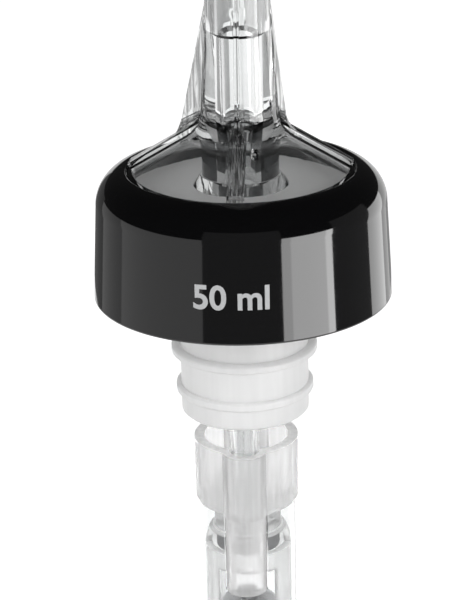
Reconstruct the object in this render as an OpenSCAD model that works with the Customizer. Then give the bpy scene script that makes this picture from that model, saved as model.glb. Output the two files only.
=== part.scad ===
// Measured bottle pourer: clear spout, black collar, ribbed stopper and a ball-valve tail.
// Millimetres. The axis is Z, z = 0 is the plane that rests on the bottle's lip, -Y is the front.

/* [Bottle fit] */
// Diameter over the sealing ribs
rib_d = 19.8; // [19.4:0.1:20.8]
// Diameter over the lead-in rib at the lower end
lead_rib_d = 18.7; // [18.2:0.1:19.2]
// Diameter of the shank between the ribs
shank_d = 17.4; // [17:0.1:17.8]
// Length of the shank below the bottle's lip
shank_l = 29.5; // [28:0.1:34]
// Number of sealing ribs above the lead-in rib
seal_ribs = 3; // [2:1:4]
// Distance from one rib to the next
rib_pitch = 5.6; // [4.6:0.1:6.2]
// Height of each rib along the shank
rib_h = 1.3; // [1:0.1:2]
// Straight land on the crest of each rib
rib_land = 0.6; // [0.3:0.1:0.9]
// Distance from the shank's lower end to the lead-in rib's crest
rib_end = 3.5; // [2.4:0.1:4.4]

/* [Collar] */
// Diameter at the lower edge
collar_d = 40; // [39:0.1:43]
// Diameter where the shoulder starts
collar_top_d = 38.6; // [37.6:0.1:39]
// Depth of the skirt below the bottle's lip
skirt_h = 12.7; // [9:0.1:16]
// Height of the lip above the bottle's lip
collar_rise = 4.8; // [4.4:0.1:5.4]
// Radius of the shoulder
shoulder_r = 4.7; // [4:0.1:5]
// Diameter of the mouth round the spout
mouth_d = 30.3; // [28:0.1:31]
// Thickness of the skirt at the lower edge
skirt_t = 1.9; // [1.4:0.1:2.6]
// Radius that rounds the edges of the mouth and of the skirt
edge_r = 0.3; // [0.15:0.05:0.5]
// How far the snap bead reaches into the groove round the stopper's flange
bead = 0.35; // [0.2:0.05:0.6]
// Height of the snap bead
bead_h = 0.7; // [0.4:0.1:1]

/* [Flanges] */
// Diameter of the stopper's and the spout's flanges
flange_d = 33.2; // [32.4:0.1:33.8]
// Thickness of the stopper's flange
flange_t = 2.2; // [1.8:0.1:2.4]
// Thickness of the spout's flange at its rim
spout_rim_t = 1.1; // [0.8:0.1:1.3]
// Height of the step from the spout's flange to the cone's edge
cone_edge_h = 1.2; // [0.6:0.1:1.4]

/* [Spout] */
// Height of the tip above the bottle's lip
spout_h = 49.5; // [42:0.5:60]
// Diameter of the tip
tip_d = 7.2; // [6.4:0.1:8]
// Diameter at the step in the bore
tube_d = 8.9; // [8.4:0.1:9.6]
// Height of the step in the bore
step_h = 23.1; // [20:0.1:26]
// Diameter where the tube meets the cone
root_d = 10.6; // [10:0.1:12]
// Length of the hollow that blends the tube into the cone, along each of them
root_blend = 2.4; // [1.6:0.1:3]
// Slope of the cone, in degrees
cone_angle = 30; // [26:1:34]
// Thickness of the cone
cone_t = 0.9; // [0.8:0.1:1.2]
// Thickness of the cone's edge at its lower end
cone_edge_t = 0.7; // [0.5:0.1:1]
// Slope of the side of the hollow under the cone, in degrees
hollow_angle = 80; // [72:1:86]
// Diameter of the foot that stands on the stopper
foot_d = 10.2; // [9:0.1:11]
// Diameter of the bore below the step
bore_d = 3.9; // [3.2:0.1:4.4]
// Diameter of the bore above the step
tip_bore_d = 5.4; // [5:0.1:5.6]
// Height of the taper from one bore to the other
step_taper_h = 0.5; // [0.3:0.1:1]
// Slant of the tip, in degrees
tip_slant = 30; // [0:1:40]
// Depth of the spigot below the bottle's lip
spigot_l = 10.5; // [8:0.1:12]
// Width of the slots across the spigot's end
spigot_slot_w = 1; // [0.6:0.1:1.4]
// Depth of the slots across the spigot's end
spigot_slot_h = 1.6; // [1:0.1:2.4]
// Diameter of the vent in the cone
cone_vent_d = 1; // [0.6:0.1:1.4]
// Distance of that vent from the axis
cone_vent_r = 7.4; // [7:0.1:9]
// Angle of that vent from the front, in degrees
cone_vent_angle = 17; // [15:1:40]

/* [Spout fins] */
// Reach of the left fin at its foot
fin_left = 7.5; // [6.6:0.1:8]
// Reach of the right fin at its foot
fin_right = 6.1; // [5.8:0.1:7]
// Reach of the front and back fins at their feet
fin_front = 6.8; // [6.2:0.1:7.6]
// Height of the fins' feet above the bottle's lip
fin_foot_h = 12; // [11:0.1:13]
// Height at which the fins start on the tube
fin_top_h = 26.5; // [24:0.1:30]
// How far the foot of a fin sweeps out along the cone
fin_sweep = 3; // [2:0.1:4]
// Thickness of a fin
fin_t = 0.7; // [0.5:0.1:1]
// Width of a fin's base on the cone
fin_base_t = 2.3; // [1.8:0.1:2.6]
// Height over which a fin widens to its base
fin_flare_h = 2.9; // [2:0.1:3.4]
// Height of the low rib from each fin to the cone's rim
toe_rib_h = 0.8; // [0.4:0.1:1]
// Distance of that rib's end from the cone's rim
toe_rib_end = 0.6; // [0.4:0.1:1.2]

/* [Foot ring] */
// Width of the bevelled ring round the spout's foot
foot_ring_w = 1.2; // [0.9:0.1:1.3]
// Height of the bevelled ring
foot_ring_h = 1.5; // [1:0.1:2]
// Width of the flat on top of the ring
foot_ring_flat = 0.2; // [0.1:0.05:0.4]
// Number of flat faces round the bevel
foot_facets = 20; // [12:1:28]

/* [Breather] */
// Distance of the breather from the axis
breather_r = 5.8; // [5.7:0.05:6]
// Diameter of the breather tube
breather_d = 4.1; // [3.8:0.1:4.2]
// Bore of the breather tube
breather_bore_d = 2.7; // [2.2:0.1:2.9]
// Depth of the tube's upper end below the bottle's lip
breather_top = 10; // [9:0.1:12]
// Diameter of the breather ball
breather_ball_d = 3.175; // [3:0.005:3.5]
// Travel of the breather ball
breather_travel = 3.4; // [2:0.1:5]
// Diameter of the vent through the stopper's flange
vent_d = 1.4; // [1:0.1:1.6]
// Distance of that vent from the breather's axis
vent_offset = 1.2; // [1:0.05:1.3]
// Diameter of the duct below the ring
duct_d = 5.6; // [5.2:0.1:5.8]
// Wall of the duct
duct_t = 0.7; // [0.5:0.05:0.9]
// Length of the duct
duct_l = 11.5; // [9:0.1:13]

/* [Tail ring] */
// Gap between the shank and the ring, where the liquid enters
inlet_gap = 4.1; // [3:0.1:6]
// Diameter of the ring
ring_d = 14.3; // [14.2:0.1:15]
// Bore of the ring
ring_bore_d = 11.5; // [11:0.1:11.8]
// Height of the ring
ring_h = 9.4; // [8:0.1:11]
// Thickness of the web at the ring's lower end
web_t = 2.4; // [1.9:0.1:3]
// Diameter of the lobe that holds the breather tube
lobe_d = 6.1; // [5.8:0.1:6.3]
// Bevel at the ring's lower edge
ring_bevel = 0.3; // [0.1:0.05:0.4]
// Height of that bevel
ring_bevel_h = 0.6; // [0.3:0.1:1]
// Diameter of the flow holes in the web
flow_hole_d = 2; // [1.4:0.1:2.2]
// Number of flow holes in the web
flow_holes = 5; // [3:1:5]
// Angle over which the flow holes are spread, in degrees
flow_span = 240; // [200:5:260]

/* [Valve] */
// Diameter of the stem in the stopper
stem_d = 6.2; // [5.8:0.1:6.4]
// Bore of the stem
stem_bore_d = 3.8; // [3.2:0.1:4]
// Depth of the stem's upper end below the bottle's lip
stem_top = 19; // [17.5:0.1:20]
// Diameter of the neck above the bell
neck_d = 9.3; // [8.8:0.1:9.8]
// Length of the neck
neck_l = 3.9; // [3:0.1:5]
// Diameter of the bell and the cage
bell_d = 12; // [11.9:0.05:12.3]
// Height of the bell's dome
dome_h = 3.1; // [2.6:0.1:4]
// Wall of the bell and the cage
cage_t = 0.9; // [0.7:0.05:0.95]
// Length of the bell's skirt below the dome
bell_skirt = 2.2; // [1.6:0.1:3]
// Width of the windows at the front and the back
window_w = 7.4; // [6.4:0.1:8]
// Height of the windows
window_h = 10.8; // [8:0.1:12]
// Height of the ring at the cage's lower end
cage_foot = 3.7; // [2:0.1:5]
// Diameter of the control ball
control_ball_d = 9.525; // [9:0.005:9.6]
// Diameter of the spout ball
spout_ball_d = 4.763; // [4.6:0.001:5]
// Thickness of the seat washer
washer_t = 2.2; // [1.6:0.1:2.6]
// Diameter of the seat washer
washer_d = 8.8; // [8.2:0.1:9]
// Bore of the seat washer
washer_bore_d = 5.4; // [4.6:0.1:6]
// Angle that each port in the dome spans, in degrees
port_span = 48; // [30:1:56]
// Angle of each port from the front or the back, in degrees
port_angle = 54; // [46:1:60]
// Height of the ports
port_h = 1.8; // [1.2:0.1:2]

/* [Cup] */
// Diameter of the clear cup
cup_d = 13.4; // [13.3:0.05:13.8]
// Wall of the clear cup
cup_t = 0.5; // [0.4:0.05:0.5]
// Depth of the cup's rim in the ring
cup_socket = 1.5; // [1:0.1:1.8]
// Thickness of the end cap's flange
cap_t = 1.5; // [1:0.1:2.5]
// Depth of the end cap's plug
plug_l = 2.3; // [1.5:0.1:3]
// Diameter of the metering hole in the end cap
meter_d = 2; // [1:0.1:2.6]

/* [Clearances] */
// Gap left between a ball and its seat
ball_gap = 0.05; // [0.02:0.01:0.1]
// Gap round the duct
duct_gap = 0.08; // [0.04:0.01:0.15]
// Gap round the flanges in the collar
flange_gap = 0.1; // [0.05:0.01:0.2]

/* [Hidden] */
$fn = 96;
arc_steps = 14;
rib_steps = 5;
over = 1;
rib_r = rib_d / 2;
lead_rib_r = lead_rib_d / 2;
shank_r = shank_d / 2;
shank_z = -shank_l;
flange_r = flange_d / 2;
bead_r = flange_r - bead;
groove_r = bead_r - flange_gap;
rim_z = flange_t + spout_rim_t;
cone_rim_z = rim_z + cone_edge_h;
lead_rib_z = shank_z + rib_end;
shoulder_z = collar_rise - sqrt(shoulder_r ^ 2 - (mouth_d / 2 + edge_r - collar_top_d / 2 + shoulder_r) ^ 2);
cone_rim_r = mouth_d / 2 - flange_gap;
cone_slope = tan(cone_angle);
cone_drop = cone_t / cos(cone_angle);
foot_r = foot_d / 2;
stem_r = stem_d / 2;
ring_z = shank_z - inlet_gap;
web_z = ring_z - ring_h;
neck_z = web_z - neck_l;
dome_z = neck_z - dome_h;
window_z = dome_z - bell_skirt;
cage_z = window_z - window_h - cage_foot;
cage_inner_r = bell_d / 2 - cage_t;
ceiling_z = neck_z - cage_t;
cup_inner_r = cup_d / 2 - cup_t;
cup_z = cage_z - plug_l;
breather_r_out = breather_d / 2;
control_ball_r = control_ball_d / 2;
control_ball_z = cage_z + sqrt(control_ball_r ^ 2 - (meter_d / 2) ^ 2) + ball_gap;
spout_ball_r = spout_ball_d / 2;
spout_ball_z = -stem_top + sqrt(spout_ball_r ^ 2 - (stem_bore_d / 2) ^ 2) + ball_gap;
breather_ball_r = breather_ball_d / 2;
breather_ball_z = -breather_top + sqrt(breather_ball_r ^ 2 - (breather_bore_d / 2) ^ 2) + ball_gap;
breather_end_z = breather_ball_z + breather_travel + breather_ball_r + ball_gap;

// Points on an ellipse round (cx, cz) from angle a0 to angle a1, without the points before number first
function arc(cx, cz, rx, rz, a0, a1, first = 0, steps = arc_steps) =
  [for (i = [first:steps]) let (a = a0 + (a1 - a0) * i / steps) [cx + rx * cos(a), cz + rz * sin(a)]];

// Height of the cone's upper face at radius r
function cone_z(r) = cone_rim_z + (cone_rim_r - r) * cone_slope;

// Radius of the tube at height z, between the cone and the tip
function tube_r(z) =
  z < step_h
    ? (root_d + (tube_d - root_d) * (z - cone_z(root_d / 2)) / (step_h - cone_z(root_d / 2))) / 2
    : (tube_d + (tip_d - tube_d) * (z - step_h) / (spout_h - step_h)) / 2;

// A point on a curve from a to c that leaves and arrives along the lines to b
function bend(a, b, c, t) = a * (1 - t) ^ 2 + b * 2 * t * (1 - t) + c * t ^ 2;

// One rib's outline, from its upper edge to its lower edge, with its crest at height z
function rib_outline(z, r) = concat(
  arc(shank_r, z + rib_land / 2, r - shank_r, (rib_h - rib_land) / 2, 90, 0, steps = rib_steps),
  arc(shank_r, z - rib_land / 2, r - shank_r, (rib_h - rib_land) / 2, 0, -90, steps = rib_steps)
);

// The bell's outline from its neck to its skirt, grown by gap
function bell_outline(gap) = concat(
  [[neck_d / 2 + gap, neck_z + gap]],
  arc(neck_d / 2, dome_z, bell_d / 2 - neck_d / 2 + gap, dome_h + gap, 90, 0, 1),
  [[bell_d / 2 + gap, cage_z]]
);

// Places its children on the breather's axis
module at_breather() {
  translate([0, -breather_r, 0]) children();
}

// A cylinder of radius r between two heights
module rod(r, z0, z1) {
  translate([0, 0, z0]) cylinder(r = r, h = z1 - z0);
}

// Places its children on the cone: +X runs down its slope from the axis, +Z stands out of it
module on_cone() {
  translate([0, 0, cone_z(0)]) rotate([0, cone_angle, 0]) children();
}

// One fin on the tube, towards +X, that reaches out to reach at its foot and stands on a low rib
module fin(reach) {
  top = [tube_r(fin_top_h), fin_top_h];
  foot = [reach, fin_foot_h];
  edge = (foot - top) / (foot[1] - top[1]);
  corner = foot + edge * (cone_z(reach) - fin_foot_h) / (1 + edge[0] * cone_slope);
  toe = [corner[0] + fin_sweep, cone_z(corner[0] + fin_sweep)];
  inner = (tip_bore_d + tip_d) / 4;
  outline = concat(
    [[inner, fin_top_h], top],
    [for (i = [0:arc_steps]) bend(foot, corner, toe, i / arc_steps)],
    [[toe[0], toe[1] - cone_t / 2], [inner, cone_z(foot_r) - cone_t / 2]]
  );
  flare_t = (fin_base_t - fin_t) / 2;
  section = concat(
    [[-fin_base_t / 2, -cone_t / 2]],
    arc(-fin_base_t / 2, fin_flare_h, flare_t, fin_flare_h - toe_rib_h, -90, 0),
    [[-fin_t / 2, fin_top_h], [fin_t / 2, fin_top_h]],
    arc(fin_base_t / 2, fin_flare_h, flare_t, fin_flare_h - toe_rib_h, 180, 270),
    [[fin_base_t / 2, -cone_t / 2]]
  );
  intersection() {
    rotate([90, 0, 0]) linear_extrude(fin_base_t + over, center = true) polygon(outline);
    on_cone() translate([-fin_top_h, 0, 0]) rotate([90, 0, 90])
      linear_extrude(2 * fin_top_h) polygon(section);
  }
}

// The low rib on the cone, towards +X, from a fin's toe to the rim
module toe_rib() {
  rib_l = (cone_rim_r - toe_rib_end) / cos(cone_angle);
  on_cone() translate([fin_front, -fin_base_t / 2, -cone_t / 2])
    cube([rib_l - fin_front, fin_base_t, cone_t / 2 + toe_rib_h]);
}

// The ring round the foot, with a bevel of flat faces
module foot_ring() {
  ring_r = foot_r + foot_ring_w;
  bevel_angle = atan((foot_ring_w - foot_ring_flat) / foot_ring_h);
  difference() {
    rod(ring_r + over, flange_t, flange_t + foot_ring_h);
    for (i = [1:foot_facets])
      rotate(360 * i / foot_facets) translate([ring_r, 0, flange_t]) rotate([0, -bevel_angle, 0])
        translate([0, -ring_r, -foot_ring_h]) cube([2 * over, 2 * ring_r, 3 * foot_ring_h]);
  }
}

module spout() {
  root = [root_d / 2, cone_z(root_d / 2)];
  blend_top = [tube_r(root[1] + root_blend), root[1] + root_blend];
  blend_r = root[0] + root_blend * cos(cone_angle);
  blend_foot = [blend_r, cone_z(blend_r)];
  hollow_r = cone_rim_r - cone_edge_t;
  roof_slope = tan(hollow_angle) - cone_slope;
  roof_r = (hollow_r * tan(hollow_angle) + flange_t + cone_drop - cone_z(0)) / roof_slope;
  color("lightcyan", 0.5) difference() {
    union() {
      rotate_extrude() difference() {
        polygon(concat(
          [[0, -spigot_l], [stem_r, -spigot_l], [stem_r, flange_t], [flange_r, flange_t], [flange_r, rim_z]],
          [[cone_rim_r, rim_z], [cone_rim_r, cone_rim_z]],
          [for (i = [0:arc_steps]) bend(blend_foot, root, blend_top, i / arc_steps)],
          [[tube_d / 2, step_h], [tip_d / 2, spout_h], [tip_d / 2, spout_h + over], [0, spout_h + over]]
        ));
        polygon([
          [foot_r, flange_t - over], [hollow_r, flange_t - over], [hollow_r, flange_t],
          [roof_r, cone_z(roof_r) - cone_drop], [foot_r, cone_z(foot_r) - cone_drop]
        ]);
      }
      fin(fin_right);
      rotate(90) fin(fin_front);
      rotate(180) fin(fin_left);
      rotate(270) fin(fin_front);
      for (a = [0:90:270]) rotate(a) toe_rib();
      foot_ring();
    }
    rotate_extrude() polygon([
      [0, -spigot_l - over], [bore_d / 2, -spigot_l - over], [bore_d / 2, step_h - step_taper_h],
      [tip_bore_d / 2, step_h], [tip_bore_d / 2, spout_h + 2 * over], [0, spout_h + 2 * over]
    ]);
    for (a = [45, 135])
      rotate(a) translate([-stem_d, -spigot_slot_w / 2, -spigot_l - over])
        cube([2 * stem_d, spigot_slot_w, spigot_slot_h + over]);
    translate([0, -tip_d / 2, spout_h - tip_d * tan(tip_slant)]) rotate([tip_slant, 0, 0])
      translate([-tip_d, -tip_d, 0]) cube([2 * tip_d, 4 * tip_d, 2 * tip_d]);
    rotate(cone_vent_angle) translate([0, -cone_vent_r, 0]) rod(cone_vent_d / 2, flange_t - over, step_h);
  }
}

module collar() {
  shoulder_cx = collar_top_d / 2 - shoulder_r;
  lip_a = acos((mouth_d / 2 + edge_r - shoulder_cx) / shoulder_r);
  pocket_r = flange_r + flange_gap;
  skirt_r = collar_d / 2 - skirt_t;
  color("#161616") rotate_extrude() polygon(concat(
    [[skirt_r, -skirt_h]],
    arc(collar_d / 2 - edge_r, edge_r - skirt_h, edge_r, edge_r, -90, 0),
    arc(shoulder_cx, shoulder_z, shoulder_r, shoulder_r, 0, lip_a),
    arc(mouth_d / 2 + edge_r, collar_rise - edge_r, edge_r, edge_r, 90, 180, 1),
    [
      [mouth_d / 2, rim_z], [pocket_r, rim_z], [pocket_r, bead_h], [bead_r, bead_h], [bead_r, 0],
      [pocket_r, bead_r - pocket_r]
    ]
  ));
}

module stopper() {
  rib_points = [
    for (i = [seal_ribs:-1:0])
      each rib_outline(lead_rib_z + i * rib_pitch, i == 0 ? lead_rib_r : rib_r)
  ];
  color("whitesmoke", 0.8) difference() {
    rotate_extrude() polygon(concat(
      [[0, flange_t], [flange_r, flange_t], [flange_r, bead_h], [groove_r, bead_h]],
      [[groove_r, 0], [shank_r, 0]],
      rib_points,
      [[shank_r, shank_z + edge_r], [shank_r - edge_r, shank_z], [0, shank_z]]
    ));
    rod(stem_r, shank_z - over, flange_t + over);
    at_breather() rod(breather_r_out, shank_z - over, breather_end_z);
    at_breather() translate([0, -vent_offset, 0]) rod(vent_d / 2, breather_end_z - over, flange_t + over);
  }
}

module spout_ball() {
  color("silver") translate([0, 0, spout_ball_z]) sphere(spout_ball_r);
}

module breather_tube() {
  color("lightcyan", 0.5) at_breather() difference() {
    rod(breather_r_out, web_z, -breather_top);
    rod(breather_bore_d / 2, web_z - over, -breather_top + over);
  }
}

module breather_ball() {
  color("silver") at_breather() translate([0, 0, breather_ball_z]) sphere(breather_ball_r);
}

module tail_ring() {
  floor_z = web_z + web_t;
  flow_r = (stem_r + ring_bore_d / 2) / 2;
  color("whitesmoke", 0.8) difference() {
    union() {
      rotate_extrude() polygon([
        [0, web_z], [ring_d / 2 - ring_bevel, web_z], [ring_d / 2, web_z + ring_bevel_h],
        [ring_d / 2, ring_z], [0, ring_z]
      ]);
      at_breather() rod(lobe_d / 2, web_z, ring_z);
    }
    rod(ring_bore_d / 2, floor_z, ring_z + over);
    rod(stem_r, web_z - over, floor_z + over);
    at_breather() rod(breather_r_out, web_z - over, ring_z + over);
    for (i = [0:flow_holes - 1])
      rotate(90 - flow_span / 2 + flow_span * i / (flow_holes - 1)) translate([flow_r, 0, 0])
        rod(flow_hole_d / 2, web_z - over, floor_z + over);
    difference() {
      rod(cup_d / 2, web_z - over, web_z + cup_socket);
      rod(cup_inner_r, web_z - 2 * over, web_z + cup_socket + over);
      cup_notch();
    }
  }
}

// The space at the front of the cup that the duct fills, open towards the ring
module cup_notch() {
  notch_w = duct_d + 2 * duct_gap;
  translate([-notch_w / 2, -cup_d, web_z - duct_l - duct_gap])
    cube([notch_w, cup_d, duct_l + duct_gap + web_t + over]);
}

module valve_cage() {
  color("whitesmoke", 0.8) difference() {
    rotate_extrude() polygon(concat(
      [[0, -stem_top], [stem_r, -stem_top], [stem_r, web_z], [neck_d / 2, web_z]],
      bell_outline(0),
      [[0, cage_z]]
    ));
    rod(stem_bore_d / 2, ceiling_z - over, -stem_top + over);
    rotate_extrude() polygon(concat(
      [[0, ceiling_z]],
      arc(neck_d / 2, dome_z, cage_inner_r - neck_d / 2, ceiling_z - dome_z, 90, 0),
      [[cage_inner_r, cage_z - over], [0, cage_z - over]]
    ));
    translate([-window_w / 2, -bell_d, window_z - window_h]) cube([window_w, 2 * bell_d, window_h]);
    for (front = [-90, 90], side = [-1, 1])
      rotate(front + side * port_angle - port_span / 2) rotate_extrude(angle = port_span)
        translate([washer_d / 2, ceiling_z - port_h]) square([bell_d / 2, port_h + cage_t / 2]);
  }
}

module seat_washer() {
  color("#303030") translate([0, 0, ceiling_z - washer_t]) difference() {
    cylinder(d = washer_d, h = washer_t);
    translate([0, 0, -over]) cylinder(d = washer_bore_d, h = washer_t + 2 * over);
  }
}

module control_ball() {
  color("silver") translate([0, 0, control_ball_z]) sphere(control_ball_r);
}

module breather_duct() {
  color("whitesmoke", 0.8) difference() {
    at_breather() rod(duct_d / 2, web_z - duct_l, web_z);
    at_breather() rod(duct_d / 2 - duct_t, web_z - duct_l - over, web_z + over);
    rotate_extrude() polygon(concat(
      [[0, web_z + over], [neck_d / 2 + duct_gap, web_z + over]],
      bell_outline(duct_gap),
      [[0, cage_z]]
    ));
  }
}

module measuring_cup() {
  color("lightcyan", 0.4) difference() {
    rod(cup_d / 2, cup_z, web_z + cup_socket);
    rod(cup_inner_r, cup_z - over, web_z + cup_socket + over);
    cup_notch();
  }
}

module end_cap() {
  color("whitesmoke", 0.8) rotate_extrude() polygon([
    [meter_d / 2, cup_z - cap_t], [cup_d / 2 - edge_r, cup_z - cap_t], [cup_d / 2, cup_z - cap_t + edge_r],
    [cup_d / 2, cup_z], [cup_inner_r, cup_z], [cup_inner_r, cage_z], [meter_d / 2, cage_z]
  ]);
}

spout();
collar();
stopper();
spout_ball();
breather_tube();
breather_ball();
tail_ring();
valve_cage();
seat_washer();
control_ball();
breather_duct();
measuring_cup();
end_cap();
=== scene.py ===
"""Measured bottle pourer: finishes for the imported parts, the printed volume and a small studio."""

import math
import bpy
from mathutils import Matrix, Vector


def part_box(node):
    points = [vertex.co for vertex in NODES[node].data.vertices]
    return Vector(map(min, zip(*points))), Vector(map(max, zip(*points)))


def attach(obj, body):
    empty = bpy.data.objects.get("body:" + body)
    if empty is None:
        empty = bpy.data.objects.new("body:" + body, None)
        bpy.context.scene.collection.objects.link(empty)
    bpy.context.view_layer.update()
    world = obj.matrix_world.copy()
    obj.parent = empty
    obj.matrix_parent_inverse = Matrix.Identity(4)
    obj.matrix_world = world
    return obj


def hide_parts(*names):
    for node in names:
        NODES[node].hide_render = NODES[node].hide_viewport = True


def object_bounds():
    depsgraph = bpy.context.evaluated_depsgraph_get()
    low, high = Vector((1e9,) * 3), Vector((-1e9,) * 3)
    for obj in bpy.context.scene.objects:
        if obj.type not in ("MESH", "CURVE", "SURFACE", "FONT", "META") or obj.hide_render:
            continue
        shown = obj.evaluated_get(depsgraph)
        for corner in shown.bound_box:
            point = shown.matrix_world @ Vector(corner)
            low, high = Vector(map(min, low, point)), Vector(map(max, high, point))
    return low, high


bl_info = {
    "name": "Measured Pourer",
    "version": (1, 0, 0),
    "blender": (4, 5, 0),
    "location": "View3D > Sidebar > Pourer",
    "description": "Dresses a bottle pourer with a ball-valve tail and lights it",
    "category": "Object",
}

import bmesh
import bpy
from bpy.props import FloatProperty, FloatVectorProperty, PointerProperty, StringProperty
from mathutils import Matrix, Vector

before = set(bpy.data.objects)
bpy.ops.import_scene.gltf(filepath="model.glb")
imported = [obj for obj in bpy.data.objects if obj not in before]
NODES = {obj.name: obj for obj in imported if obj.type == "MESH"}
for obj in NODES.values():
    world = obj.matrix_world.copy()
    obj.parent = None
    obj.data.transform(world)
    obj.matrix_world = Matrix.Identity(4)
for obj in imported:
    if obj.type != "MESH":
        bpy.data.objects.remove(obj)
CAD_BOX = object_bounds()
COLLAR_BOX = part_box("collar")
MM = 0.001
BODY = "pourer"
SHARP_EDGE = math.radians(35)
MERGE = 0.001 * MM
WHITE = (1, 1, 1, 1)


def linear(code):
    """The linear colour of an sRGB hex code."""
    parts = [int(code[i:i + 2], 16) / 255 for i in (1, 3, 5)]
    return tuple(c / 12.92 if c <= 0.04045 else ((c + 0.055) / 1.055) ** 2.4 for c in parts)


def colour_prop(name, description, code):
    """A colour property with an sRGB hex default."""
    return FloatVectorProperty(
        name=name, description=description, subtype="COLOR", size=3, min=0, max=1, default=linear(code)
    )


def length_prop(name, description, millimetres):
    """A length property with its default in millimetres."""
    return FloatProperty(
        name=name, description=description, unit="LENGTH", default=millimetres * MM, precision=5
    )


class PourerColours(bpy.types.PropertyGroup):
    """Colours of the pourer's finishes."""

    clear: colour_prop("Clear plastic", "Tint of the spout, the cup and the breather tube", "#f6f7f7")
    # Painted shade: a dark tint standing in for the dark that the spout's thick foot and hollow show
    painted_shade: colour_prop("Painted shade", "Tint of the spout's thick, shaded walls", "#1c1d1e")
    black: colour_prop("Black plastic", "Colour of the collar", "#060607")
    stopper: colour_prop("Stopper", "Colour of the soft stopper", "#e6e6e6")
    milky: colour_prop("Milky plastic", "Colour of the tail's milky mouldings", "#fafafa")
    rubber: colour_prop("Rubber", "Colour of the seat washer", "#5c5d5f")
    steel: colour_prop("Steel", "Colour of the balls", "#dcddde")
    ink: colour_prop("Ink", "Colour of the printed volume", "#b9babb")
    paper: colour_prop("Paper", "Colour of the studio's floor", "#f4f4f4")


class PourerSizes(bpy.types.PropertyGroup):
    """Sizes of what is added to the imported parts."""

    collar_top: length_prop("Collar top", "Diameter of the collar where its shoulder starts", 38.6)
    shoulder: length_prop("Shoulder", "Radius of the collar's shoulder", 4.7)
    mouth: length_prop("Mouth", "Diameter of the collar's mouth round the spout", 30.3)
    pocket: length_prop("Pocket", "Diameter of the collar's bore round the flanges", 33.4)
    pocket_roof: length_prop("Pocket roof", "Height of the pocket's roof above the bottle's lip", 3.3)
    bead: length_prop("Snap bead", "Diameter inside the snap bead", 32.5)
    bead_height: length_prop("Bead height", "Height of the snap bead", 0.7)
    skirt_wall: length_prop("Skirt wall", "Thickness of the collar at its lower edge", 1.9)
    edge: length_prop("Edge", "Radius of the collar's edges", 0.3)
    mark_text: StringProperty(
        name="Volume", description="Printed volume on the collar", default="50 ml"
    )
    mark_height: length_prop("Mark height", "Height of the printed figures", 3.1)
    mark_level: length_prop("Mark level", "Height of the mark's middle above the bottle's lip", -6.5)
    mark_shift: length_prop("Mark shift", "How far right of the front its middle is", -0.5)
    ink_rise: length_prop("Ink thickness", "How far the ink stands off the collar", 0.02)


def add_node(tree, kind, settings=None, links=None):
    """Adds a shader node, sets its properties or sockets, and links its inputs."""
    node = tree.nodes.new(kind)
    for key, value in (settings or {}).items():
        if key in node.inputs:
            node.inputs[key].default_value = value
        else:
            setattr(node, key, value)
    for key, source in (links or {}).items():
        tree.links.new(source, node.inputs[key])
    return node


def new_material(name):
    """An empty material; returns it, its node tree and its object coordinates."""
    material = bpy.data.materials.new(name)
    material.use_nodes = True
    tree = material.node_tree
    tree.nodes.clear()
    return material, tree, add_node(tree, "ShaderNodeTexCoord").outputs["Object"]


def clear_plastic(name, tint, ior, wave_mm, seam_mm):
    """Clear styrene plastic from a polished tool: glassy, with faint flow lines and a fine seam."""
    wave_depth_mm = 0.004
    seam_depth_mm = 0.05
    material, tree, place = new_material(name)
    drawn = add_node(tree, "ShaderNodeMapping", {"Scale": (1, 1, 0.2)}, {"Vector": place})
    flow = add_node(
        tree,
        "ShaderNodeTexNoise",
        {"Scale": 1 / (wave_mm * MM), "Detail": 2.0},
        {"Vector": drawn.outputs["Vector"]},
    ).outputs["Fac"]
    polish = add_node(tree, "ShaderNodeMapRange", {"To Min": 0.0, "To Max": 0.05}, {"Value": flow})
    wave = add_node(tree, "ShaderNodeBump", {"Distance": wave_depth_mm * MM}, {"Height": flow})
    across = add_node(tree, "ShaderNodeSeparateXYZ", links={"Vector": place}).outputs["X"]
    off_seam = add_node(tree, "ShaderNodeMath", {"operation": "ABSOLUTE"}, {"Value": across})
    seam = add_node(
        tree,
        "ShaderNodeMapRange",
        {"From Max": seam_mm / 2 * MM, "To Min": 1.0, "To Max": 0.0},
        {"Value": off_seam.outputs["Value"]},
    )
    relief = add_node(
        tree,
        "ShaderNodeBump",
        {"Distance": seam_depth_mm * MM},
        {"Height": seam.outputs["Result"], "Normal": wave.outputs["Normal"]},
    )
    shader = add_node(
        tree,
        "ShaderNodeBsdfPrincipled",
        {"Base Color": (*tint, 1), "Transmission Weight": 1.0, "IOR": ior},
        {"Roughness": polish.outputs["Result"], "Normal": relief.outputs["Normal"]},
    )
    add_node(tree, "ShaderNodeOutputMaterial", links={"Surface": shader.outputs["BSDF"]})
    return material


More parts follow.
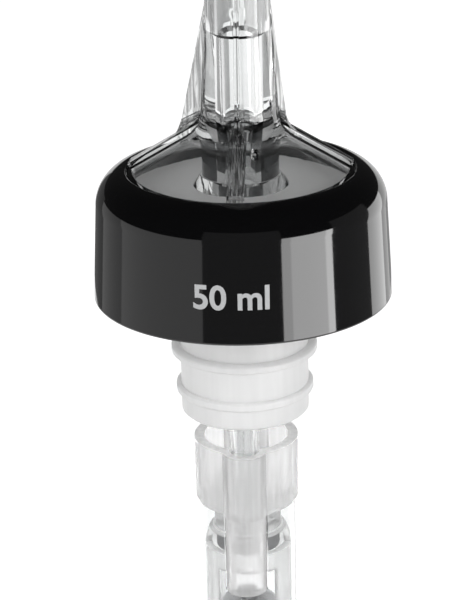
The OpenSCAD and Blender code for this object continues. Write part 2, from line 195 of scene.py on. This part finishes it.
def streaked_plastic(name, tint, ior, line_mm, depth_mm, dark):
    """The clear plastic where the tool drags on ribs and fins: uneven streaks that break the light.

    The dark lines keep the given share of the tint.
    """
    material, tree, place = new_material(name)
    drawn = add_node(tree, "ShaderNodeMapping", {"Scale": (1, 0.05, 0.05)}, {"Vector": place})
    streak = add_node(
        tree,
        "ShaderNodeTexNoise",
        {"Scale": 1 / (line_mm * MM), "Detail": 1.0, "Distortion": 0.2},
        {"Vector": drawn.outputs["Vector"]},
    ).outputs["Fac"]
    relief = add_node(tree, "ShaderNodeBump", {"Distance": depth_mm * MM}, {"Height": streak})
    line = add_node(tree, "ShaderNodeMapRange", {"From Min": 0.46, "From Max": 0.54}, {"Value": streak})
    tone = add_node(
        tree,
        "ShaderNodeMix",
        {"data_type": "RGBA", "A": (*(dark * c for c in tint), 1), "B": (*tint, 1)},
        {"Factor": line.outputs["Result"]},
    )
    shader = add_node(
        tree,
        "ShaderNodeBsdfPrincipled",
        {"Transmission Weight": 1.0, "IOR": ior, "Roughness": 0.1},
        {"Base Color": tone.outputs["Result"], "Normal": relief.outputs["Normal"]},
    )
    add_node(tree, "ShaderNodeOutputMaterial", links={"Surface": shader.outputs["BSDF"]})
    return material


def black_plastic(colour):
    """Black ABS from a polished tool: deep gloss, with a trace of waviness and of dulled patches."""
    smudge_mm = 6
    sink_mm = 9
    sink_depth_mm = 0.004
    material, tree, place = new_material("polished_black_abs")
    smudge = add_node(
        tree, "ShaderNodeTexNoise", {"Scale": 1 / (smudge_mm * MM), "Detail": 4.0}, {"Vector": place}
    )
    polish = add_node(
        tree, "ShaderNodeMapRange", {"To Min": 0.03, "To Max": 0.09}, {"Value": smudge.outputs["Fac"]}
    )
    sink = add_node(
        tree, "ShaderNodeTexNoise", {"Scale": 1 / (sink_mm * MM), "Detail": 1.0}, {"Vector": place}
    )
    relief = add_node(
        tree, "ShaderNodeBump", {"Distance": sink_depth_mm * MM}, {"Height": sink.outputs["Fac"]}
    )
    shader = add_node(
        tree,
        "ShaderNodeBsdfPrincipled",
        {"Base Color": (*colour, 1), "IOR": 1.54},
        {"Roughness": polish.outputs["Result"], "Normal": relief.outputs["Normal"]},
    )
    add_node(tree, "ShaderNodeOutputMaterial", links={"Surface": shader.outputs["BSDF"]})
    return material


def milky_plastic(name, colour, ior, roughness, transmission, scatter_mm, dark, depth_mm):
    """Unfilled polyethylene or polypropylene: waxy, milky and see-through, with upright flow lines.

    The dark lines keep the given share of the colour. Faces that look up are plain and shut out what is
    behind, so they render lighter: painted light on the tops.
    """
    line_mm = 0.9
    wax_mm = 2
    uneven = 0.03
    material, tree, place = new_material(name)
    drawn = add_node(tree, "ShaderNodeMapping", {"Scale": (1, 1, 0.06)}, {"Vector": place})
    flow = add_node(
        tree,
        "ShaderNodeTexNoise",
        {"Scale": 1 / (line_mm * MM), "Detail": 1.0},
        {"Vector": drawn.outputs["Vector"]},
    ).outputs["Fac"]
    line = add_node(tree, "ShaderNodeMapRange", {"From Min": 0.35, "From Max": 0.65}, {"Value": flow})
    tone = add_node(
        tree,
        "ShaderNodeMix",
        {"data_type": "RGBA", "A": (*(dark * c for c in colour), 1), "B": (*colour, 1)},
        {"Factor": line.outputs["Result"]},
    )
    wax = add_node(
        tree, "ShaderNodeTexNoise", {"Scale": 1 / (wax_mm * MM), "Detail": 1.0}, {"Vector": place}
    )
    sheen = add_node(
        tree,
        "ShaderNodeMapRange",
        {"To Min": roughness - uneven, "To Max": roughness + uneven},
        {"Value": wax.outputs["Fac"]},
    )
    facing = add_node(tree, "ShaderNodeTexCoord").outputs["Normal"]
    upward = add_node(tree, "ShaderNodeSeparateXYZ", links={"Vector": facing}).outputs["Z"]
    # Painted light: faces that look up turn opaque, so they render lighter than the light on them gives
    painted_light_tops = {"From Min": 0.85, "From Max": 0.95, "To Max": 0.0}
    clarity_and_painted_light = add_node(tree, "ShaderNodeMapRange", {**painted_light_tops, "To Min": transmission}, {"Value": upward})
    upright = add_node(tree, "ShaderNodeMapRange", {**painted_light_tops, "To Min": 1.0}, {"Value": upward})
    relief = add_node(
        tree,
        "ShaderNodeBump",
        {"Distance": depth_mm * MM},
        {"Height": flow, "Strength": upright.outputs["Result"]},
    )
    shader = add_node(
        tree,
        "ShaderNodeBsdfPrincipled",
        {
            "IOR": ior,
            "Subsurface Weight": 1.0,
            "Subsurface Radius": (1, 1, 1),
            "Subsurface Scale": scatter_mm * MM,
        },
        {
            "Base Color": tone.outputs["Result"],
            "Roughness": sheen.outputs["Result"],
            "Transmission Weight": clarity_and_painted_light.outputs["Result"],
            "Normal": relief.outputs["Normal"],
        },
    )
    add_node(tree, "ShaderNodeOutputMaterial", links={"Surface": shader.outputs["BSDF"]})
    return material


def seat_rubber(colour):
    """Moulded nitrile rubber: dark, matt and finely grained."""
    grain_mm = 0.25
    grain_depth_mm = 0.02
    material, tree, place = new_material("moulded_nitrile")
    grain = add_node(
        tree, "ShaderNodeTexNoise", {"Scale": 1 / (grain_mm * MM), "Detail": 2.0}, {"Vector": place}
    ).outputs["Fac"]
    matt = add_node(tree, "ShaderNodeMapRange", {"To Min": 0.45, "To Max": 0.65}, {"Value": grain})
    relief = add_node(tree, "ShaderNodeBump", {"Distance": grain_depth_mm * MM}, {"Height": grain})
    shader = add_node(
        tree,
        "ShaderNodeBsdfPrincipled",
        {"Base Color": (*colour, 1), "IOR": 1.52},
        {"Roughness": matt.outputs["Result"], "Normal": relief.outputs["Normal"]},
    )
    add_node(tree, "ShaderNodeOutputMaterial", links={"Surface": shader.outputs["BSDF"]})
    return material


def ball_steel(colour):
    """Ground and lapped stainless steel: mirror bright with the faintest haze."""
    haze_mm = 0.8
    material, tree, place = new_material("lapped_steel")
    haze = add_node(
        tree, "ShaderNodeTexNoise", {"Scale": 1 / (haze_mm * MM), "Detail": 4.0}, {"Vector": place}
    ).outputs["Fac"]
    polish = add_node(tree, "ShaderNodeMapRange", {"To Min": 0.06, "To Max": 0.14}, {"Value": haze})
    shader = add_node(
        tree,
        "ShaderNodeBsdfPrincipled",
        {"Base Color": (*colour, 1), "Metallic": 1.0},
        {"Roughness": polish.outputs["Result"]},
    )
    add_node(tree, "ShaderNodeOutputMaterial", links={"Surface": shader.outputs["BSDF"]})
    return material


def pad_ink(colour):
    """Pad-printed ink: a thin satin film with slightly uneven cover."""
    cover_mm = 0.3
    thin_film = 0.9
    material, tree, place = new_material("pad_print_ink")
    cover = add_node(
        tree, "ShaderNodeTexNoise", {"Scale": 1 / (cover_mm * MM), "Detail": 3.0}, {"Vector": place}
    ).outputs["Fac"]
    satin = add_node(tree, "ShaderNodeMapRange", {"To Min": 0.34, "To Max": 0.5}, {"Value": cover})
    tone = add_node(
        tree,
        "ShaderNodeMix",
        {"data_type": "RGBA", "A": (*(thin_film * c for c in colour), 1), "B": (*colour, 1)},
        {"Factor": cover},
    )
    shader = add_node(
        tree,
        "ShaderNodeBsdfPrincipled",
        {"IOR": 1.5},
        {"Base Color": tone.outputs["Result"], "Roughness": satin.outputs["Result"]},
    )
    add_node(tree, "ShaderNodeOutputMaterial", links={"Surface": shader.outputs["BSDF"]})
    return material


def set_material(mesh, material):
    """Makes a material the only one of a mesh."""
    mesh.materials.clear()
    mesh.materials.append(material)


def dress(material, *names):
    """Gives CAD nodes a material."""
    for name in names:
        set_material(NODES[name].data, material)


def new_piece(name, mesh, material):
    """An object at the origin with one material."""
    set_material(mesh, material)
    piece = bpy.data.objects.new(name, mesh)
    bpy.context.scene.collection.objects.link(piece)
    return piece


def let_light_through(piece):
    """Lets lamp light and soft light pass a clear piece, which would take too many samples otherwise."""
    piece.visible_shadow = False
    piece.visible_diffuse = False


def smooth_mesh(name, bm):
    """A mesh from a bmesh, shaded smooth up to its sharp edges."""
    mesh = bpy.data.meshes.new(name)
    bm.to_mesh(mesh)
    bm.free()
    if "custom_normal" in mesh.attributes:
        mesh.attributes.remove(mesh.attributes["custom_normal"])
    mesh.shade_smooth()
    mesh.set_sharp_from_angle(angle=SHARP_EDGE)
    return mesh


class POURER_OT_stage(bpy.types.Operator):
    """Sets the camera, the lamps, the floor and the cards that gloss and clear plastic show"""

    bl_idname = "pourer.stage"
    bl_label = "Set the stage"

    # The camera, fitted to the photograph: lengths in millimetres, angles in degrees
    camera_back = 280.67
    camera_up = 92.71
    camera_pitch = 20.816
    camera_yaw = -0.355
    camera_roll = -1.306
    camera_lens = 133.82
    camera_sensor = 36
    camera_near = 10
    object_turn = -3.0

    # Lamps: name, angle from the front to the right, height angle, distance and width in metres, watts
    lamps = (
        ("key_lamp", 48, 18, 0.9, 0.5, 3.5),
        ("fill_lamp", -60, 15, 0.9, 0.6, 2.6),
        ("front_lamp", 0, 22, 0.9, 0.8, 2.2),
    )

    # Cards round the part: angles from the front to the right, heights in mm, strengths at the height of
    # the part's lower and upper end, and whether gloss or clear plastic sees them
    card_distance = 170
    card_steps = 32
    cards = (
        ("flag_front", -26, 31, -70, 80, 0.17, 0.17, "gloss"),
        ("softbox_edge", 31, 38, -70, 5, 5.2, 5.2, "gloss"),
        ("softbox", 38, 66, -70, 5, 6.7, 6.7, "gloss"),
        ("softbox_rim", 66, 72, -70, 5, 9.0, 9.0, "gloss"),
        ("flag_right", 72, 112, -70, 60, 0.18, 0.18, "gloss"),
        ("strip_right", 112, 138, -70, 15, 2.6, 2.6, "gloss"),
        ("strip_fade", 138, 153, -70, 15, 1.05, 1.05, "gloss"),
        ("table_right", 153, 170, -70, -45, 0.42, 0.42, "gloss"),
        ("paper_back", 153, 205, -45, 15, 1.0, 1.0, "gloss"),
        ("table_left", 170, 231, -70, -45, 0.16, 0.16, "gloss"),
        ("flag_back", 205, 231, -45, 15, 0.16, 0.16, "gloss"),
        ("side_left", 231, 262, -70, 5, 0.46, 0.46, "gloss"),
        ("card_left", 262, 334, -70, 5, 0.84, 0.84, "gloss"),
        ("backdrop_low_right", 150, 179, -70, -29, 1.05, 1.05, "clear"),
        ("backdrop_right_fin", 179, 180.6, -70, 100, 0.75, 0.75, "clear"),
        ("backdrop", 180.6, 185.2, -70, 100, 1.1, 1.1, "clear"),
        ("backdrop_left_fin", 185.2, 187.4, -70, 100, 0.36, 0.75, "clear"),
        ("backdrop_low_left", 187.4, 203, -70, -29, 1.05, 1.05, "clear"),
        ("backdrop_left", 187.4, 203, -29, 100, 0.34, 0.34, "clear"),
        ("tent_behind", 203, 240, -70, 100, 0.36, 0.34, "clear"),
        ("tent_left", 240, 330, -70, 100, 1.0, 0.3, "clear"),
        ("tent_front", -30, 35, -70, 100, 0.9, 0.2, "clear"),
        ("tent_right", 35, 75, -70, 100, 2.0, 0.9, "clear"),
        ("tent_edge", 75, 110, -70, 100, 0.7, 0.15, "clear"),
        ("tent_back", 110, 150, -70, 100, 0.7, 0.5, "clear"),
        ("backdrop_edge", 150, 160, -29, 100, 0.6, 0.6, "clear"),
        ("backdrop_right", 160, 179, -29, 100, 0.34, 0.34, "clear"),
    )

    # Spheres behind the cards, for the rest of the studio: radius in mm, steps round them, and strengths
    room_distance = 350
    room_steps = 48
    gloss_room = 0.03
    clear_room_low = 1.0
    clear_room_high = 0.25

    # The floor: half its width in metres, its cells each way, and the white that it adds to its own lit
    # paper, so that the background is white and a shadow still shows
    floor_half = 2.0
    floor_cells = 8
    floor_white = 0.8

    # Soft light of the world at the horizon and overhead, and the height where the second is reached
    horizon_fill = 0.8
    overhead_fill = 0.06
    dark_above = 0.7

    def execute(self, context):
        self.make_camera(context)
        self.make_world(context)
        self.make_floor(context)
        self.make_lamps(context)
        self.make_cards()
        context.scene.view_settings.view_transform = "Standard"
        return {"FINISHED"}

    def make_camera(self, context):
        angles = (self.camera_pitch, self.camera_yaw, self.camera_roll, -self.object_turn)
        pitch, yaw, roll, turn = (math.radians(angle) for angle in angles)
        look = Vector(
            (math.sin(yaw) * math.cos(pitch), math.cos(yaw) * math.cos(pitch), -math.sin(pitch))
        )
        level = Vector((math.cos(yaw), -math.sin(yaw), 0))
        rise = level.cross(look)
        right = math.cos(roll) * level + math.sin(roll) * rise
        up = math.cos(roll) * rise - math.sin(roll) * level
        axes = Matrix((right, up, -look)).transposed().to_4x4()
        place = Matrix.Translation(Vector((0, -self.camera_back, self.camera_up)) * MM)
        data = bpy.data.cameras.new("photo_camera")
        data.lens = self.camera_lens
        data.sensor_width = self.camera_sensor
        data.clip_start = self.camera_near * MM
        camera = bpy.data.objects.new("photo_camera", data)
        camera.matrix_world = Matrix.Rotation(turn, 4, "Z") @ place @ axes
        context.scene.collection.objects.link(camera)
        context.scene.camera = camera

    def seen_directly(self, tree):
        """1 for camera, gloss and clear rays, 0 for the rays that carry soft light."""
        path = add_node(tree, "ShaderNodeLightPath").outputs
        both = add_node(tree, "ShaderNodeMath", {"operation": "MAXIMUM"})
        tree.links.new(path["Is Camera Ray"], both.inputs[0])
        tree.links.new(path["Is Glossy Ray"], both.inputs[1])
        every = add_node(tree, "ShaderNodeMath", {"operation": "MAXIMUM"})
        tree.links.new(both.outputs[0], every.inputs[0])
        tree.links.new(path["Is Transmission Ray"], every.inputs[1])
        return every.outputs[0]

    def make_world(self, context):
        world = bpy.data.worlds.new("studio")
        world.use_nodes = True
        tree = world.node_tree
        tree.nodes.clear()
        place = add_node(tree, "ShaderNodeTexCoord").outputs["Generated"]
        height = add_node(tree, "ShaderNodeSeparateXYZ", links={"Vector": place}).outputs["Z"]
        dim = add_node(
            tree,
            "ShaderNodeMapRange",
            {"From Max": self.dark_above, "To Min": self.horizon_fill, "To Max": self.overhead_fill},
            {"Value": height},
        )
        fill = add_node(
            tree, "ShaderNodeBackground", {"Color": WHITE}, {"Strength": dim.outputs["Result"]}
        )
        white = add_node(tree, "ShaderNodeBackground", {"Color": WHITE, "Strength": 1.0})
        mix = add_node(tree, "ShaderNodeMixShader", links={"Fac": self.seen_directly(tree)})
        tree.links.new(fill.outputs[0], mix.inputs[1])
        tree.links.new(white.outputs[0], mix.inputs[2])
        add_node(tree, "ShaderNodeOutputWorld", links={"Surface": mix.outputs[0]})
        context.scene.world = world

    def make_floor(self, context):
        colour = context.scene.pourer_colours.paper
        material = bpy.data.materials.new("studio_paper")
        material.use_nodes = True
        tree = material.node_tree
        tree.nodes.clear()
        paper = add_node(tree, "ShaderNodeBsdfDiffuse", {"Color": (*colour, 1)})
        share = add_node(tree, "ShaderNodeMath", {"operation": "MULTIPLY"})
        tree.links.new(self.seen_directly(tree), share.inputs[0])
        share.inputs[1].default_value = self.floor_white
        white = add_node(tree, "ShaderNodeEmission", {"Color": WHITE}, {"Strength": share.outputs[0]})
        both = add_node(tree, "ShaderNodeAddShader")
        tree.links.new(paper.outputs[0], both.inputs[0])
        tree.links.new(white.outputs[0], both.inputs[1])
        add_node(tree, "ShaderNodeOutputMaterial", links={"Surface": both.outputs[0]})
        bm = bmesh.new()
        bmesh.ops.create_grid(
            bm, x_segments=self.floor_cells, y_segments=self.floor_cells, size=self.floor_half
        )
        bmesh.ops.translate(bm, verts=bm.verts, vec=(0, 0, CAD_BOX[0].z))
        mesh = bpy.data.meshes.new("floor")
        bm.to_mesh(mesh)
        bm.free()
        new_piece("floor", mesh, material)

    def make_lamps(self, context):
        for name, azimuth, height, distance, width, power in self.lamps:
            data = bpy.data.lights.new(name, "AREA")
            data.shape = "SQUARE"
            data.size = width
            data.energy = power
            a, e = math.radians(azimuth), math.radians(height)
            back = Vector((math.sin(a) * math.cos(e), -math.cos(a) * math.cos(e), math.sin(e)))
            lamp = bpy.data.objects.new(name, data)
            lamp.location = back * distance
            lamp.rotation_euler = back.to_track_quat("Z", "Y").to_euler()
            lamp.visible_camera = lamp.visible_glossy = lamp.visible_transmission = False
            context.scene.collection.objects.link(lamp)

    def make_cards(self):
        for name, start, end, low, high, strength, top_strength, seen_by in self.cards:
            bm = bmesh.new()
            foot = bm.verts.new((0, -self.card_distance * MM, low * MM))
            head = bm.verts.new((0, -self.card_distance * MM, high * MM))
            edge = bm.edges.new((foot, head))
            bmesh.ops.rotate(
                bm, verts=bm.verts, cent=(0, 0, 0), matrix=Matrix.Rotation(math.radians(start), 3, "Z")
            )
            bmesh.ops.spin(
                bm, geom=[foot, head, edge], cent=(0, 0, 0), axis=(0, 0, 1),
                angle=math.radians(end - start), steps=self.card_steps,
            )
            self.hang_card(name, bm, strength, top_strength, seen_by)
        self.make_room("gloss_room", self.gloss_room, self.gloss_room, "gloss")
        self.make_room("clear_room", self.clear_room_low, self.clear_room_high, "clear")

    def make_room(self, name, low, high, seen_by):
        bm = bmesh.new()
        steps = self.room_steps
        radius = self.room_distance * MM
        bmesh.ops.create_uvsphere(bm, u_segments=steps, v_segments=steps // 2, radius=radius)
        self.hang_card(name, bm, low, high, seen_by)

    def hang_card(self, name, bm, low, high, seen_by):
        """A card that the camera and the soft light don't see, with strengths at the part's two ends."""
        mesh = bpy.data.meshes.new(name)
        bm.to_mesh(mesh)
        bm.free()
        material, tree, place = new_material(name)
        height = add_node(tree, "ShaderNodeSeparateXYZ", links={"Vector": place}).outputs["Z"]
        fade = add_node(
            tree,
            "ShaderNodeMapRange",
            {"From Min": CAD_BOX[0].z, "From Max": CAD_BOX[1].z, "To Min": low, "To Max": high},
            {"Value": height},
        )
        glow = add_node(
            tree, "ShaderNodeEmission", {"Color": WHITE}, {"Strength": fade.outputs["Result"]}
        )
        add_node(tree, "ShaderNodeOutputMaterial", links={"Surface": glow.outputs[0]})
        card = new_piece(name, mesh, material)
        card.visible_camera = card.visible_diffuse = card.visible_shadow = False
        card.visible_glossy = seen_by == "gloss"
        card.visible_transmission = seen_by == "clear"


class POURER_OT_mouldings(bpy.types.Operator):
    """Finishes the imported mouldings, the washer and the balls"""

    bl_idname = "pourer.mouldings"
    bl_label = "Finish the mouldings"

    milky_nodes = ("tail_ring", "valve_cage", "breather_duct", "end_cap")

    def execute(self, context):
        colours = context.scene.pourer_colours
        tube = clear_plastic("extruded_clear_tube", colours.clear, ior=1.49, wave_mm=2, seam_mm=0.1)
        cup = clear_plastic("moulded_clear_cup", colours.clear, ior=1.49, wave_mm=4, seam_mm=0.1)
        soft = milky_plastic(
            "soft_polyethylene", colours.stopper, ior=1.51, roughness=0.35, transmission=0.05,
            scatter_mm=2.2, dark=0.97, depth_mm=0.003,
        )
        milky = milky_plastic(
            "milky_polypropylene", colours.milky, ior=1.49, roughness=0.06, transmission=0.76,
            scatter_mm=1.5, dark=0.86, depth_mm=0.09,
        )
        dress(tube, "breather_tube")
        dress(cup, "measuring_cup")
        dress(soft, "stopper")
        dress(milky, *self.milky_nodes)
        dress(seat_rubber(colours.rubber), "seat_washer")
        dress(ball_steel(colours.steel), "control_ball", "spout_ball", "breather_ball")
        for name in ("breather_tube", "measuring_cup"):
            let_light_through(NODES[name])
        # Milky pieces let the lamps shine through, so they cast no shadow
        for name in ("stopper", *self.milky_nodes):
            NODES[name].visible_shadow = False
        return {"FINISHED"}


class POURER_OT_spout(bpy.types.Operator):
    """Makes the clear spout with smooth walls and crisp edges"""

    bl_idname = "pourer.spout"
    bl_label = "Make the spout"

    # Air between the spout and what it stands on, without which the clear walls wouldn't mirror inside
    air_mm = 0.02

    # The clear plastic: its index of refraction, the width of its flow lines and of its seam
    ior = 1.57
    wave_mm = 3
    seam_mm = 0.3

    # The front rib's upper face, which is streaked: its reach to each side, and where it starts
    streak_half_mm = 1.2
    streak_start_mm = 4.5

    # The side fins: how far out they leave the tube, and where they leave the cone
    fin_start_mm = 4.9
    fin_low_mm = 9

    # Walls given painted shade: where the foot's flanks start to each side, the foot's radius and its top
    flank_start_mm = 2.9
    foot_mm = 5.3
    foot_top_mm = 9

    # Limits of a face's normal: how far the rib's top looks up, the fins to the front or back and the
    # hollow's wall inwards, and how little the foot's flanks look up or down
    rib_up = 0.3
    fin_front = 0.9
    hollow_inward = 0.8
    flank_level = 0.1

    def execute(self, context):
        bm = bmesh.new()
        bm.from_mesh(NODES["spout"].data)
        bmesh.ops.remove_doubles(bm, verts=bm.verts, dist=MERGE)
        bm.normal_update()
        for vert in bm.verts:
            vert.co -= vert.normal * vert.calc_shell_factor() * self.air_mm * MM
            vert.co.z = min(vert.co.z, CAD_BOX[1].z)
        colours = context.scene.pourer_colours
        tint = colours.clear
        plain = clear_plastic("moulded_clear_san", tint, self.ior, self.wave_mm, self.seam_mm)
        rib = streaked_plastic("streaked_rib_san", tint, self.ior, line_mm=0.14, depth_mm=0.3, dark=0.1)
        fin = streaked_plastic("streaked_fin_san", tint, self.ior, line_mm=0.45, depth_mm=0.1, dark=0.6)
        # Painted shade: the foot's flanks and the hollow's wall get a dark tint in place of the dark they
        # refract
        painted_shade = clear_plastic("painted_shade_clear_san", colours.painted_shade, self.ior, self.wave_mm, self.seam_mm)
        mesh = smooth_mesh("clear_spout", bm)
        spout = new_piece("clear_spout", mesh, plain)
        for finish in (rib, fin, painted_shade):
            mesh.materials.append(finish)
        for face in mesh.polygons:
            fits = (True, self.is_rib(mesh, face), self.is_fin(face), self.is_painted_shade(face))
            face.material_index = max(i for i, fit in enumerate(fits) if fit)
        let_light_through(spout)
        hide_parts("spout")
        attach(spout, BODY)
        return {"FINISHED"}

    def is_rib(self, mesh, face):
        """Whether a face is on top of the front rib."""
        half = max(abs(mesh.vertices[i].co.x) for i in face.vertices)
        in_front = face.center.y < -self.streak_start_mm * MM
        return half < self.streak_half_mm * MM and in_front and face.normal.z > self.rib_up

    def is_fin(self, face):
        """Whether a face is on the front or back of a side fin."""
        off_tube = abs(face.center.x) > self.fin_start_mm * MM
        off_cone = face.center.z > self.fin_low_mm * MM
        return off_tube and off_cone and abs(face.normal.y) > self.fin_front

    def is_painted_shade(self, face):
        """Whether a face gets painted shade: a flank of the foot or the wall of the hollow."""
        reach = face.center.xy.length
        if reach > self.foot_mm * MM:
            return face.normal.xy.dot(face.center.xy) < -self.hollow_inward * reach
        beside = abs(face.center.x) > self.flank_start_mm * MM
        on_foot = 0 < face.center.z < self.foot_top_mm * MM
        return beside and on_foot and abs(face.normal.z) < self.flank_level


class POURER_OT_collar(bpy.types.Operator):
    """Turns the glossy collar with a fine, smooth shoulder"""

    bl_idname = "pourer.collar"
    bl_label = "Turn the collar"

    # Steps round the shoulder, an edge and the whole turn
    shoulder_steps = 28
    edge_steps = 6
    turn_steps = 180

    # How near its ends a straight wall is held flat, so that the gloss doesn't bend there
    hold_mm = 0.03

    def execute(self, context):
        sizes = context.scene.pourer_sizes
        low, high = COLLAR_BOX
        edge = sizes.edge
        mouth = sizes.mouth / 2
        pocket = sizes.pocket / 2
        bead = sizes.bead / 2
        shoulder_x = sizes.collar_top / 2 - sizes.shoulder
        lip_x = mouth + edge
        sweep = math.acos((lip_x - shoulder_x) / sizes.shoulder)
        shoulder_z = high.z - sizes.shoulder * math.sin(sweep)
        bm = bmesh.new()
        first = bm.verts.new((high.x - sizes.skirt_wall, 0, low.z))
        vert = self.line(bm, first, high.x - edge, low.z)
        vert = self.arc(bm, vert, high.x - edge, low.z + edge, math.pi / 2, self.edge_steps)
        vert = self.line(bm, vert, sizes.collar_top / 2, shoulder_z)
        vert = self.arc(bm, vert, shoulder_x, shoulder_z, sweep, self.shoulder_steps)
        vert = self.arc(bm, vert, lip_x, high.z - edge, math.pi / 2, self.edge_steps)
        for x, z in (
            (mouth, sizes.pocket_roof), (pocket, sizes.pocket_roof), (pocket, sizes.bead_height),
            (bead, sizes.bead_height), (bead, 0), (pocket, bead - pocket),
        ):
            vert = self.line(bm, vert, x, z)
        bm.edges.new((vert, first))
        bmesh.ops.spin(
            bm, geom=bm.verts[:] + bm.edges[:], cent=(0, 0, 0), axis=(0, 0, 1),
            angle=2 * math.pi, steps=self.turn_steps, use_merge=True,
        )
        bmesh.ops.remove_doubles(bm, verts=bm.verts, dist=MERGE)
        bmesh.ops.recalc_face_normals(bm, faces=bm.faces)
        material = black_plastic(context.scene.pourer_colours.black)
        collar = new_piece("black_collar", smooth_mesh("black_collar", bm), material)
        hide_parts("collar")
        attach(collar, BODY)
        return {"FINISHED"}

    def line(self, bm, vert, x, z):
        """A straight edge of the profile to a new corner, held flat at both ends; returns the corner."""
        end = Vector((x, 0, z))
        hold = (end - vert.co).normalized() * self.hold_mm * MM
        for place in (vert.co + hold, end - hold, end):
            corner = bm.verts.new(place)
            bm.edges.new((vert, corner))
            vert = corner
        return vert

    def arc(self, bm, vert, x, z, angle, steps):
        """A round of the profile about a centre; returns its last vertex."""
        made = bmesh.ops.spin(
            bm, geom=[vert], cent=(x, 0, z), axis=(0, -1, 0), angle=angle, steps=steps
        )
        return next(g for g in made["geom_last"] if isinstance(g, bmesh.types.BMVert))


class POURER_OT_volume_mark(bpy.types.Operator):
    """Prints the volume on the collar's front"""

    bl_idname = "pourer.volume_mark"
    bl_label = "Print the volume"

    # Width of the strips in which the flat print bends round the collar
    strip_mm = 0.4

    # Share of the letters' size that a figure's height takes, and how much the strokes are thickened
    cap_share = 0.7
    bold_mm = 0.1

    def execute(self, context):
        sizes = context.scene.pourer_sizes
        low, high = COLLAR_BOX
        curve = bpy.data.curves.new("volume_mark", "FONT")
        curve.body = sizes.mark_text
        curve.size = sizes.mark_height / self.cap_share
        curve.offset = self.bold_mm * MM
        curve.align_x = "CENTER"
        curve.align_y = "CENTER"
        sketch = bpy.data.objects.new("volume_sketch", curve)
        context.scene.collection.objects.link(sketch)
        context.view_layer.update()
        mesh = bpy.data.meshes.new_from_object(sketch.evaluated_get(context.evaluated_depsgraph_get()))
        bpy.data.objects.remove(sketch)
        bm = bmesh.new()
        bm.from_mesh(mesh)
        half = max(abs(v.co.x) for v in bm.verts)
        strip = self.strip_mm * MM
        cuts = int(half / strip)
        for i in range(-cuts, cuts + 1):
            whole = bm.verts[:] + bm.edges[:] + bm.faces[:]
            bmesh.ops.bisect_plane(bm, geom=whole, plane_co=(i * strip, 0, 0), plane_no=(1, 0, 0))
        for vert in bm.verts:
            z = sizes.mark_level + vert.co.y
            share = (z - low.z) / -low.z
            radius = high.x + (sizes.collar_top / 2 - high.x) * share + sizes.ink_rise
            angle = (sizes.mark_shift + vert.co.x) / radius
            vert.co = (radius * math.sin(angle), -radius * math.cos(angle), z)
        bmesh.ops.recalc_face_normals(bm, faces=bm.faces)
        if sum(f.normal.y for f in bm.faces) > 0:
            bmesh.ops.reverse_faces(bm, faces=bm.faces)
        bm.to_mesh(mesh)
        bm.free()
        mark = new_piece("volume_mark", mesh, pad_ink(context.scene.pourer_colours.ink))
        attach(mark, BODY)
        return {"FINISHED"}


class POURER_PT_sidebar(bpy.types.Panel):
    """Lists the pourer's steps, sizes and colours"""

    bl_label = "Measured Pourer"
    bl_idname = "POURER_PT_sidebar"
    bl_space_type = "VIEW_3D"
    bl_region_type = "UI"
    bl_category = "Pourer"

    def draw(self, context):
        for group in (context.scene.pourer_sizes, context.scene.pourer_colours):
            column = self.layout.column()
            for key in group.__annotations__:
                column.prop(group, key)
        for operator in OPERATORS:
            self.layout.operator(operator.bl_idname)


OPERATORS = (
    POURER_OT_stage,
    POURER_OT_mouldings,
    POURER_OT_spout,
    POURER_OT_collar,
    POURER_OT_volume_mark,
)
CLASSES = (PourerColours, PourerSizes, *OPERATORS, POURER_PT_sidebar)


def register():
    """Registers the classes and the scene's settings."""
    for cls in CLASSES:
        bpy.utils.register_class(cls)
    bpy.types.Scene.pourer_colours = PointerProperty(type=PourerColours)
    bpy.types.Scene.pourer_sizes = PointerProperty(type=PourerSizes)


def unregister():
    """Removes the settings and the classes."""
    del bpy.types.Scene.pourer_sizes
    del bpy.types.Scene.pourer_colours
    for cls in reversed(CLASSES):
        bpy.utils.unregister_class(cls)


def main():
    """Builds the stage and the pieces."""
    register()
    bpy.ops.pourer.stage()
    bpy.ops.pourer.mouldings()
    bpy.ops.pourer.spout()
    bpy.ops.pourer.collar()
    bpy.ops.pourer.volume_mark()


if __name__ == "__main__":
    main()
